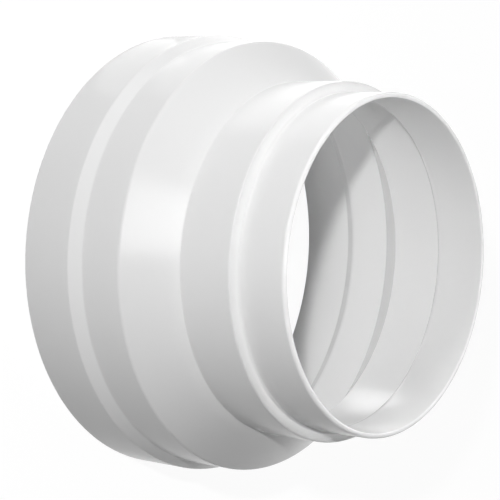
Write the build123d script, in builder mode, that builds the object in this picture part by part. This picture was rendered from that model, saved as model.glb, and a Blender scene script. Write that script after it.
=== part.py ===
from build123d import *
import math
import os

# Round duct reducer, moulded in one piece, standing on its wide mouth.
# Millimetres, +Z up. The axis of the fitting is Z and the rim of the wide mouth lies on Z = 0.
# From the bottom up: a socket that takes the large duct, a shoulder that stops it, a short barrel,
# a taper, a collar, a second shoulder and a spigot that slips into the small duct.

# The two ducts that the fitting joins
LARGE_DUCT_RADIUS = 62.5  # outside of the large duct
SMALL_DUCT_BORE_RADIUS = 48.5  # inside of the small duct
SOCKET_GAP = 1.0  # all round, between the socket and the large duct
SPIGOT_GAP = 0.4  # all round, between the spigot and the small duct

# The moulded wall
WALL = 1.5
ROOT_ROUND = 1.3  # where each shoulder meets the tube above it; the inside follows, one wall larger
TAPER_ROUND = 1.2  # outer corner where the barrel turns into the taper
SOCKET_LEAD_IN = 0.4  # chamfer inside the socket's rim, where the large duct slides in
SPIGOT_LEAD_IN = 0.8  # chamfer outside the spigot's rim, which goes into the small duct

# Lengths along the axis, from the wide mouth to the narrow one
SOCKET_LENGTH = 17.0
STOP_LENGTH = 3.5
BARREL_LENGTH = 13.6
TAPER_LENGTH = 11.6
COLLAR_LENGTH = 17.1
SPIGOT_SHOULDER_LENGTH = 0.6
SPIGOT_LENGTH = 15.3

# Steps in radius that stop the ducts
STOP_STEP = 2.1
SPIGOT_SHOULDER_STEP = 3.1

# Outer radii of the four straight lengths
socket_radius = LARGE_DUCT_RADIUS + SOCKET_GAP + WALL
barrel_radius = socket_radius - STOP_STEP
spigot_radius = SMALL_DUCT_BORE_RADIUS - SPIGOT_GAP
collar_radius = spigot_radius + SPIGOT_SHOULDER_STEP

# Heights of the outer corners
stop_bottom = SOCKET_LENGTH
stop_top = stop_bottom + STOP_LENGTH
taper_bottom = stop_top + BARREL_LENGTH
taper_top = taper_bottom + TAPER_LENGTH
shoulder_bottom = taper_top + COLLAR_LENGTH
shoulder_top = shoulder_bottom + SPIGOT_SHOULDER_LENGTH
height = shoulder_top + SPIGOT_LENGTH


def corner_drop(step, length):
    """How far the inner corner lies below the outer one where the wall leans in by step over length."""
    lean = math.atan2(step, length)
    return WALL * math.tan(lean / 2)


stop_drop = corner_drop(STOP_STEP, STOP_LENGTH)
taper_drop = corner_drop(barrel_radius - collar_radius, TAPER_LENGTH)
shoulder_drop = corner_drop(SPIGOT_SHOULDER_STEP, SPIGOT_SHOULDER_LENGTH)

# Inside the root of a shoulder, the wall keeps its thickness round the bend
inner_round = ROOT_ROUND + WALL

outer_corners = [
    (socket_radius, 0),
    (socket_radius, stop_bottom),
    (barrel_radius, stop_top),
    (barrel_radius, taper_bottom),
    (collar_radius, taper_top),
    (collar_radius, shoulder_bottom),
    (spigot_radius, shoulder_top),
    (spigot_radius, height),
]
inner_corners = [
    (socket_radius - WALL, 0),
    (socket_radius - WALL, stop_bottom - stop_drop),
    (barrel_radius - WALL, stop_top - stop_drop),
    (barrel_radius - WALL, taper_bottom - taper_drop),
    (collar_radius - WALL, taper_top - taper_drop),
    (collar_radius - WALL, shoulder_bottom - shoulder_drop),
    (spigot_radius - WALL, shoulder_top - shoulder_drop),
    (spigot_radius - WALL, height),
]

# The moulding: one even wall section, turned about the axis
with BuildPart() as reducer_body:
    with BuildSketch(Plane.XZ):
        with BuildLine():
            outer = FilletPolyline(*outer_corners, radius=[0, ROOT_ROUND, TAPER_ROUND, 0, 0, ROOT_ROUND])
            inner = FilletPolyline(*inner_corners, radius=[0, inner_round, 0, 0, 0, inner_round])
            Line(outer @ 0, inner @ 0)
            Line(outer @ 1, inner @ 1)
        section = make_face()
        rims = section.vertices().group_by(Axis.Y)
        socket_edge = rims[0].sort_by(Axis.X)[0]
        spigot_edge = rims[-1].sort_by(Axis.X)[-1]
        chamfer(socket_edge, length=SOCKET_LEAD_IN)
        chamfer(spigot_edge, length=SPIGOT_LEAD_IN)
    revolve(axis=Axis.Z)

reducer_body.part.label = "reducer_body"

os.makedirs("parts", exist_ok=True)
export_step(reducer_body.part, "parts/reducer_body.step")
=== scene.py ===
"""Looks of a white moulded duct reducer that stands on its wide mouth on a pale studio floor.

Everything is in metres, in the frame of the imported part: +Z runs up the axis of the fitting and the
rim of the wide mouth lies on Z = 0. The part's one solid is replaced by a smooth shell of the same
section, with finely rounded corners and rims, in a glossy white plastic.
"""
import logging
import math
from dataclasses import dataclass, field
from enum import Enum

import bmesh
import bpy
from mathutils import Matrix, Quaternion, Vector


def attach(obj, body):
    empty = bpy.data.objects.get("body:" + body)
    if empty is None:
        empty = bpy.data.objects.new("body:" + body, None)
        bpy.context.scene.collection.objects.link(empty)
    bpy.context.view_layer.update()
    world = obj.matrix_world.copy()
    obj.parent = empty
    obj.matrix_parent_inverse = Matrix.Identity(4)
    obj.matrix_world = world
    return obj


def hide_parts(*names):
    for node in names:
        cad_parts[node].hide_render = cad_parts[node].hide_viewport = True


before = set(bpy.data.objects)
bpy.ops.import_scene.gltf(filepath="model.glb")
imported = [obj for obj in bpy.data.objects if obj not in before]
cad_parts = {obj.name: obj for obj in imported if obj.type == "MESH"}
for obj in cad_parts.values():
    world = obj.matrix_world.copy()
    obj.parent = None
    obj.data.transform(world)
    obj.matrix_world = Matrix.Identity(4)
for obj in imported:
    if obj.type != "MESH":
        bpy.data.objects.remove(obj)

WHOLE_TURN = 2.0 * math.pi

# A noise factor keeps to the middle of its range of 0 to 1
NOISE_LOW = 0.3
NOISE_HIGH = 0.7

log = logging.getLogger("duct_reducer")


def grey(shade: float) -> tuple[float, float, float, float]:
    """An opaque grey of the given linear shade."""
    return (shade, shade, shade, 1.0)


class Corner(Enum):
    """How a corner of the wall section is rounded; the value is the radius in metres.

    Two members must not have one value, because the second would be the first by another name.
    """

    RIM = 0.00045
    SPIGOT_RIM = 0.0009
    EDGE = 0.0005
    STOP_EDGE = 0.0011
    HOLLOW = 0.0003
    SHOULDER_ROOT = 0.0013
    SPIGOT_ROOT = 0.0007
    SHOULDER_INSIDE = 0.0028
    TAPER_EDGE = 0.0012
    TAPER_ROOT = 0.0006


@dataclass(frozen=True)
class SectionPoint:
    """One corner of the wall section: its distance from the axis, its height and its rounding."""

    radius: float
    height: float
    corner: Corner

    def place(self) -> Vector:
        """The corner in the XZ plane."""
        return Vector((self.radius, 0.0, self.height))


class NodeSheet:
    """A small helper that adds and joins the nodes of one node tree."""

    def __init__(self, tree: bpy.types.NodeTree) -> None:
        """Takes the tree that the nodes go into."""
        self.tree = tree

    def add(self, kind: str, **values: object) -> bpy.types.Node:
        """Adds a node.

        Args:
            kind: The node's type name.
            **values: Node properties, set by name.

        Returns:
            The new node.
        """
        node = self.tree.nodes.new(kind)
        for name, value in values.items():
            setattr(node, name, value)
        return node

    def join(self, source: bpy.types.NodeSocket, target: bpy.types.NodeSocket) -> None:
        """Links an output to an input."""
        self.tree.links.new(source, target)

    def noise(self, coordinates: bpy.types.NodeSocket, scale: float, detail: float) -> bpy.types.NodeSocket:
        """Adds a noise texture.

        Args:
            coordinates: Where the texture is read.
            scale: Features per metre.
            detail: Octaves of finer noise.

        Returns:
            The factor output, between 0 and 1.
        """
        node = self.add("ShaderNodeTexNoise")
        node.inputs["Scale"].default_value = scale
        node.inputs["Detail"].default_value = detail
        self.join(coordinates, node.inputs["Vector"])
        return node.outputs["Fac"]

    def spread(self, factor: bpy.types.NodeSocket, low: float, high: float) -> bpy.types.NodeSocket:
        """Maps a noise factor onto a range.

        Args:
            factor: The noise output.
            low: The result at the low end.
            high: The result at the high end.

        Returns:
            The mapped value.
        """
        node = self.add("ShaderNodeMapRange", clamp=False)
        node.inputs["From Min"].default_value = NOISE_LOW
        node.inputs["From Max"].default_value = NOISE_HIGH
        node.inputs["To Min"].default_value = low
        node.inputs["To Max"].default_value = high
        self.join(factor, node.inputs["Value"])
        return node.outputs["Result"]

    def relief(self, pattern: bpy.types.NodeSocket, height: float) -> bpy.types.Node:
        """Adds a bump.

        Args:
            pattern: The noise that rises and falls.
            height: How high it rises, in metres.

        Returns:
            The bump node.
        """
        node = self.add("ShaderNodeBump")
        node.inputs["Strength"].default_value = 1.0
        node.inputs["Distance"].default_value = height
        self.join(pattern, node.inputs["Height"])
        return node


@dataclass(frozen=True)
class GlossyMoulding:
    """White plastic as it leaves a polished mould: smooth, glossy and a little uneven."""

    shade: float = 0.88
    shade_drift: float = 0.004
    roughness: float = 0.2
    roughness_drift: float = 0.01
    ior: float = 1.5
    flow_scale: float = 22.0
    flow_detail: float = 2.0
    flow_height: float = 0.000003
    skin_scale: float = 1400.0
    skin_detail: float = 3.0
    skin_height: float = 0.000001

    def material(self) -> bpy.types.Material:
        """Builds the plastic.

        Returns:
            The finished material.
        """
        plastic = bpy.data.materials.new("white_moulding")
        plastic.use_nodes = True
        sheet = NodeSheet(plastic.node_tree)
        surface = plastic.node_tree.nodes["Principled BSDF"]
        place = sheet.add("ShaderNodeTexCoord").outputs["Object"]
        flow = sheet.noise(place, self.flow_scale, self.flow_detail)
        skin = sheet.noise(place, self.skin_scale, self.skin_detail)
        self.tint(sheet, flow, surface)
        smoothest = self.roughness - self.roughness_drift
        roughest = self.roughness + self.roughness_drift
        sheet.join(sheet.spread(flow, smoothest, roughest), surface.inputs["Roughness"])
        self.unevenness(sheet, flow, skin, surface)
        surface.inputs["IOR"].default_value = self.ior
        return plastic

    def tint(self, sheet: NodeSheet, flow: bpy.types.NodeSocket, surface: bpy.types.Node) -> None:
        """Gives the white a faint drift from place to place.

        Args:
            sheet: The plastic's node tree.
            flow: The slow noise that the drift follows.
            surface: The shader that takes the colour.
        """
        mix = sheet.add("ShaderNodeMix", data_type="RGBA")
        mix.inputs["A"].default_value = grey(self.shade - self.shade_drift)
        mix.inputs["B"].default_value = grey(self.shade + self.shade_drift)
        sheet.join(sheet.spread(flow, 0.0, 1.0), mix.inputs["Factor"])
        sheet.join(mix.outputs["Result"], surface.inputs["Base Color"])

    def unevenness(
        self,
        sheet: NodeSheet,
        flow: bpy.types.NodeSocket,
        skin: bpy.types.NodeSocket,
        surface: bpy.types.Node,
    ) -> None:
        """Bends the reflections a little: slow waves in the wall and the fine skin of the mould.

        Args:
            sheet: The plastic's node tree.
            flow: The slow noise, which makes the waves.
            skin: The fine noise, which makes the skin.
            surface: The shader that takes the bent normal.
        """
        waves = sheet.relief(flow, self.flow_height)
        grain = sheet.relief(skin, self.skin_height)
        sheet.join(waves.outputs["Normal"], grain.inputs["Normal"])
        sheet.join(grain.outputs["Normal"], surface.inputs["Normal"])


@dataclass
class ReducerShell:
    """The moulding: one even wall section turned about the axis."""

    node: str = "reducer_body"
    body: str = "root"
    slot: str = "moulding"
    wall: float = 0.0015
    socket_radius: float = 0.0650
    barrel_radius: float = 0.0629
    collar_radius: float = 0.0512
    spigot_radius: float = 0.0481
    stop_bottom: float = 0.0170
    stop_top: float = 0.0205
    taper_bottom: float = 0.0341
    taper_top: float = 0.0457
    shoulder_bottom: float = 0.0628
    shoulder_top: float = 0.0634
    height: float = 0.0787
    turn_steps: int = 288
    rounding_segments: int = 6
    weld_distance: float = 1e-7
    flat_face_weight: int = 100

    def outside(self) -> list[SectionPoint]:
        """The outer corners, from the wide rim up."""
        return [
            SectionPoint(self.socket_radius, 0.0, Corner.RIM),
            SectionPoint(self.socket_radius, self.stop_bottom, Corner.STOP_EDGE),
            SectionPoint(self.barrel_radius, self.stop_top, Corner.SHOULDER_ROOT),
            SectionPoint(self.barrel_radius, self.taper_bottom, Corner.TAPER_EDGE),
            SectionPoint(self.collar_radius, self.taper_top, Corner.TAPER_ROOT),
            SectionPoint(self.collar_radius, self.shoulder_bottom, Corner.EDGE),
            SectionPoint(self.spigot_radius, self.shoulder_top, Corner.SPIGOT_ROOT),
            SectionPoint(self.spigot_radius, self.height, Corner.SPIGOT_RIM),
        ]

    def drop(self, foot: SectionPoint, head: SectionPoint) -> float:
        """How far the inner corners lie below the outer ones where the wall leans in.

        Args:
            foot: The outer corner where the lean begins.
            head: The outer corner where it ends.

        Returns:
            The drop that keeps the wall even.
        """
        lean = math.atan2(foot.radius - head.radius, head.height - foot.height)
        return self.wall * math.tan(lean / 2.0)

    def inside(self) -> list[SectionPoint]:
        """The inner corners, from the narrow rim down."""
        outside = self.outside()
        stop = self.drop(outside[1], outside[2])
        taper = self.drop(outside[3], outside[4])
        shoulder = self.drop(outside[5], outside[6])
        drops = [0.0, stop, stop, taper, taper, shoulder, shoulder, 0.0]
        behind = {
            Corner.RIM: Corner.RIM,
            Corner.SPIGOT_RIM: Corner.RIM,
            Corner.EDGE: Corner.HOLLOW,
            Corner.STOP_EDGE: Corner.HOLLOW,
            Corner.SHOULDER_ROOT: Corner.SHOULDER_INSIDE,
            Corner.SPIGOT_ROOT: Corner.SHOULDER_INSIDE,
            Corner.TAPER_EDGE: Corner.HOLLOW,
            Corner.TAPER_ROOT: Corner.EDGE,
        }
        corners = [
            SectionPoint(point.radius - self.wall, point.height - drop, behind[point.corner])
            for point, drop in zip(outside, drops)
        ]
        return corners[::-1]

    def draw_section(self, mesh: bmesh.types.BMesh) -> None:
        """Draws the wall section in the XZ plane and rounds its corners.

        Args:
            mesh: The empty mesh that takes the section.
        """
        points = self.outside() + self.inside()
        corners = [mesh.verts.new(point.place()) for point in points]
        mesh.faces.new(corners)
        for index, vertex in enumerate(corners):
            before = points[index - 1].place()
            after = points[(index + 1) % len(points)].place()
            turn = (vertex.co - before).angle(after - vertex.co)
            bmesh.ops.bevel(
                mesh,
                geom=[vertex],
                offset=points[index].corner.value * math.tan(turn / 2.0),
                offset_type="OFFSET",
                segments=self.rounding_segments,
                profile=0.5,
                affect="VERTICES",
                material=-1,
            )
        bmesh.ops.delete(mesh, geom=mesh.faces[:], context="FACES_ONLY")

    def turn_section(self, mesh: bmesh.types.BMesh) -> None:
        """Spins the section about the axis into a closed shell with its faces outwards.

        Args:
            mesh: The mesh that holds the section's edges.
        """
        bmesh.ops.spin(
            mesh,
            geom=mesh.verts[:] + mesh.edges[:],
            cent=(0.0, 0.0, 0.0),
            axis=(0.0, 0.0, 1.0),
            angle=WHOLE_TURN,
            steps=self.turn_steps,
            use_merge=True,
            use_duplicate=False,
        )
        bmesh.ops.remove_doubles(mesh, verts=mesh.verts[:], dist=self.weld_distance)
        bmesh.ops.recalc_face_normals(mesh, faces=mesh.faces[:])
        for face in mesh.faces:
            face.smooth = True

    def build(self) -> bpy.types.Object:
        """Makes the shell and puts it in the place of the solid.

        Returns:
            The shell's object.
        """
        mesh = bmesh.new()
        self.draw_section(mesh)
        self.turn_section(mesh)
        data = bpy.data.meshes.new("reducer_shell")
        mesh.to_mesh(data)
        mesh.free()
        shell = bpy.data.objects.new("reducer_shell", data)
        bpy.context.scene.collection.objects.link(shell)
        even = shell.modifiers.new("even_normals", "WEIGHTED_NORMAL")
        even.weight = self.flat_face_weight
        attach(shell, self.body)
        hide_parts(self.node)
        return shell

    def dress(self, shell: bpy.types.Object, finish: GlossyMoulding) -> None:
        """Gives the shell its plastic."""
        shell.data.materials.append(finish.material())


class Shine(Enum):
    """What a lamp does for the part."""

    SOFT = "lights it without a mirror image"
    GLEAM = "shows in its gloss only"


@dataclass(frozen=True)
class Lamp:
    """A flat lamp that faces the point that it aims at.

    The side is a direction from the aim towards the lamp, and need not have unit length. Sizes are
    in metres and the power is in watts. A lamp of no given height is as high as it is wide.
    """

    name: str
    side: tuple[float, float, float]
    width: float
    power: float
    distance: float = 1.0
    height: float = 0.0
    shape: str = "RECTANGLE"
    shine: Shine = Shine.SOFT
    spread_degrees: float = 180.0
    aim: tuple[float, float, float] = (0.0, 0.0, 0.04)

    def build(self) -> bpy.types.Object:
        """Makes the lamp, which the camera itself doesn't see.

        Returns:
            The lamp's object.
        """
        lamp = bpy.data.lights.new(self.name, "AREA")
        lamp.shape = self.shape
        lamp.size = self.width
        lamp.size_y = self.height or self.width
        lamp.spread = math.radians(self.spread_degrees)
        lamp.energy = self.power
        towards = Vector(self.side).normalized()
        stand = bpy.data.objects.new(self.name, lamp)
        stand.location = Vector(self.aim) + towards * self.distance
        stand.rotation_euler = (-towards).to_track_quat("-Z", "Y").to_euler()
        stand.visible_camera = False
        stand.visible_glossy = self.shine is not Shine.SOFT
        stand.visible_diffuse = self.shine is not Shine.GLEAM
        bpy.context.scene.collection.objects.link(stand)
        return stand


@dataclass(frozen=True)
class AirwayLight:
    """A narrow spot above the part that lights the floor inside it, which lights the inner walls."""

    name: str = "airway_light"
    height: float = 0.98
    cone_degrees: float = 5.4
    blend: float = 0.1
    radius: float = 0.01
    power: float = 80.0

    def build(self) -> bpy.types.Object:
        """Makes the spot, which shines straight down.

        Returns:
            The spot's object.
        """
        spot = bpy.data.lights.new(self.name, "SPOT")
        spot.spot_size = math.radians(self.cone_degrees)
        spot.spot_blend = self.blend
        spot.shadow_soft_size = self.radius
        spot.energy = self.power
        stand = bpy.data.objects.new(self.name, spot)
        stand.location = (0.0, 0.0, self.height)
        bpy.context.scene.collection.objects.link(stand)
        return stand


CARD_DISTANCE = 0.1
CARD_LIFT = 0.002


def floor_card(name: str, x: float, y: float, width: float, height: float, power: float) -> Lamp:
    """Lays a card just above the floor, beside the part, for the walls above it to mirror.

    Args:
        name: The card's name.
        x: Its middle along X.
        y: Its middle along Y.
        width: Its size along X.
        height: Its size along Y.
        power: Its power in watts.

    Returns:
        The card.
    """
    aim = (x, y, CARD_LIFT + CARD_DISTANCE)
    return Lamp(name, (0.0, 0.0, -1.0), width, power, CARD_DISTANCE, height, shine=Shine.GLEAM, aim=aim)


def lamps_round_the_part() -> list[Lamp]:
    """Chooses the flat lamps, so that light, shadow and gloss lie as in the photograph.

    Returns:
        The lamps, with the main one first.
    """
    return [
        # The main lamp is small and near the camera, and its shadow has a firm edge inside the tube
        Lamp("camera_flash", (-0.162, -0.805, 0.570), 0.020, 1.46, distance=0.5, shape="DISK"),
        # Wide fills from the front
        Lamp("front_fill", (-0.35, -0.93, 0.10), 0.5, 0.4, height=0.24),
        Lamp("high_fill", (0.12, -0.62, 0.78), 0.5, 0.2),
        # Strips that show in the gloss of the taper and along the rims
        Lamp("front_strip", (-0.20, -0.65, 0.73), 0.5, 1.35, height=0.17, shine=Shine.GLEAM),
        Lamp("edge_strip", (-0.25, -0.96, 0.08), 1.6, 0.5, height=0.12, shine=Shine.GLEAM),
        # Wide fills from the sides and from behind
        Lamp("side_fill", (-0.95, 0.25, 0.15), 0.35, 4.6, distance=1.2),
        Lamp("low_fill", (-1.0, -0.30, 0.05), 0.5, 1.0, height=0.16),
        Lamp("far_fill", (-0.60, 0.70, 0.40), 0.5, 1.3),
        Lamp("back_fill", (0.22, 0.95, 0.16), 0.5, 4.8, height=0.24),
        # Low cards that make the highlights on the walls that lie uppermost in the picture
        floor_card("barrel_card", -0.0785, 0.026, 0.019, 0.148, 0.0052),
        floor_card("collar_card", -0.101, 0.030, 0.026, 0.140, 0.0130),
        floor_card("spigot_card", -0.147, 0.030, 0.066, 0.140, 0.0250),
        # This one leans a little, which turns its long side along the socket's wall
        Lamp(
            "socket_card",
            (-0.0884, -0.0468, -1.0),
            0.040,
            0.0008,
            distance=CARD_DISTANCE,
            height=0.012,
            shine=Shine.GLEAM,
            aim=(-0.0531, -0.0281, 0.1015),
        ),
        # A card inside the tube that makes the bright patch behind the narrow rim
        Lamp(
            "inner_card",
            (-0.87, 0.0, -0.50),
            0.020,
            0.0021,
            distance=CARD_DISTANCE,
            shine=Shine.GLEAM,
            spread_degrees=110.0,
            aim=(0.0647, 0.047, 0.0608),
        ),
    ]


@dataclass
class Studio:
    """The pale floor, the white surroundings and the lamps.

    The floor and the world have one shade for the light that falls on the part, and another for
    what the camera, the gloss and clear glass see.
    """

    floor_size: float = 6.0
    floor_shade: float = 0.33
    seen_floor: float = 0.93
    seen_shadow: float = 0.12
    world_strength: float = 0.01
    seen_world: float = 1.0
    lamps: list[Lamp] = field(default_factory=lamps_round_the_part)

    def floor(self) -> bpy.types.Object:
        """Lays the floor under the part.

        Returns:
            The floor's object.
        """
        mesh = bmesh.new()
        bmesh.ops.create_grid(mesh, x_segments=1, y_segments=1, size=self.floor_size / 2.0)
        data = bpy.data.meshes.new("studio_floor")
        mesh.to_mesh(data)
        mesh.free()
        floor = bpy.data.objects.new("studio_floor", data)
        bpy.context.scene.collection.objects.link(floor)
        data.materials.append(self.floor_material())
        return floor

    def seen_share(self, sheet: NodeSheet) -> bpy.types.NodeSocket:
        """Adds the test for what a camera, a mirror or clear glass sees.

        Args:
            sheet: The node tree that it goes into.

        Returns:
            A value of 1 for such rays and 0 for the light that falls on the part.
        """
        path = sheet.add("ShaderNodeLightPath")
        mirror = sheet.add("ShaderNodeMath", operation="MAXIMUM")
        sheet.join(path.outputs["Is Camera Ray"], mirror.inputs[0])
        sheet.join(path.outputs["Is Glossy Ray"], mirror.inputs[1])
        glass = sheet.add("ShaderNodeMath", operation="MAXIMUM")
        sheet.join(mirror.outputs["Value"], glass.inputs[0])
        sheet.join(path.outputs["Is Transmission Ray"], glass.inputs[1])
        return glass.outputs["Value"]

    def floor_material(self) -> bpy.types.Material:
        """Builds the floor's paint: plain to the light, near white to the camera, with the shadow kept.

        Returns:
            The finished material.
        """
        paint = bpy.data.materials.new("studio_floor_paint")
        paint.use_nodes = True
        sheet = NodeSheet(paint.node_tree)
        paint.node_tree.nodes.remove(paint.node_tree.nodes["Principled BSDF"])
        plain = sheet.add("ShaderNodeBsdfDiffuse")
        plain.inputs["Color"].default_value = grey(self.floor_shade)
        faint = sheet.add("ShaderNodeBsdfDiffuse")
        faint.inputs["Color"].default_value = grey(self.seen_shadow)
        lift = sheet.add("ShaderNodeEmission")
        lift.inputs["Strength"].default_value = self.seen_floor
        seen = sheet.add("ShaderNodeAddShader")
        sheet.join(faint.outputs["BSDF"], seen.inputs[0])
        sheet.join(lift.outputs["Emission"], seen.inputs[1])
        choice = sheet.add("ShaderNodeMixShader")
        sheet.join(self.seen_share(sheet), choice.inputs["Fac"])
        sheet.join(plain.outputs["BSDF"], choice.inputs[1])
        sheet.join(seen.outputs["Shader"], choice.inputs[2])
        sheet.join(choice.outputs["Shader"], paint.node_tree.nodes["Material Output"].inputs["Surface"])
        return paint

    def surroundings(self) -> None:
        """Sets the world: a trace of light on the part, white where it is seen."""
        world = bpy.data.worlds.new("studio_white")
        world.use_nodes = True
        bpy.context.scene.world = world
        sheet = NodeSheet(world.node_tree)
        backdrop = world.node_tree.nodes["Background"]
        backdrop.inputs["Color"].default_value = grey(1.0)
        strength = sheet.add("ShaderNodeMapRange")
        strength.inputs["To Min"].default_value = self.world_strength
        strength.inputs["To Max"].default_value = self.seen_world
        sheet.join(self.seen_share(sheet), strength.inputs["Value"])
        sheet.join(strength.outputs["Result"], backdrop.inputs["Strength"])

    def build(self) -> None:
        """Makes the floor, the surroundings and each lamp."""
        self.floor()
        self.surroundings()
        for lamp in self.lamps:
            lamp.build()
            log.info("lamp %s", lamp.name)
        AirwayLight().build()


@dataclass(frozen=True)
class PhotographCamera:
    """The photograph's viewpoint: near the narrow mouth, with the fitting lying across the picture."""

    place: tuple[float, float, float] = (-0.001526, -0.388801, 0.348618)
    aim: tuple[float, float, float] = (-0.001526, 0.0, 0.027189)
    roll_degrees: float = 94.214
    lens: float = 122.4
    sensor: float = 36.0
    clip_start: float = 0.01

    def build(self) -> bpy.types.Object:
        """Makes the camera and renders through it.

        Returns:
            The camera's object.
        """
        data = bpy.data.cameras.new("photograph_camera")
        data.sensor_fit = "HORIZONTAL"
        data.sensor_width = self.sensor
        data.lens = self.lens
        data.clip_start = self.clip_start
        camera = bpy.data.objects.new("photograph_camera", data)
        look = (Vector(self.aim) - Vector(self.place)).to_track_quat("-Z", "Y")
        roll = Quaternion((0.0, 0.0, 1.0), math.radians(self.roll_degrees))
        camera.matrix_world = Matrix.Translation(self.place) @ (look @ roll).to_matrix().to_4x4()
        bpy.context.scene.collection.objects.link(camera)
        bpy.context.scene.camera = camera
        return camera


def main() -> None:
    """Builds the camera, the shell and the studio, and logs the shell's face count."""
    logging.basicConfig(level=logging.INFO, format="%(name)s: %(message)s")
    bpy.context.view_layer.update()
    bpy.context.scene.view_settings.view_transform = "Standard"
    PhotographCamera().build()
    reducer = ReducerShell()
    shell = reducer.build()
    reducer.dress(shell, GlossyMoulding())
    log.info("piece %s: %d faces", shell.name, len(shell.data.polygons))
    Studio().build()


if __name__ == "__main__":
    main()
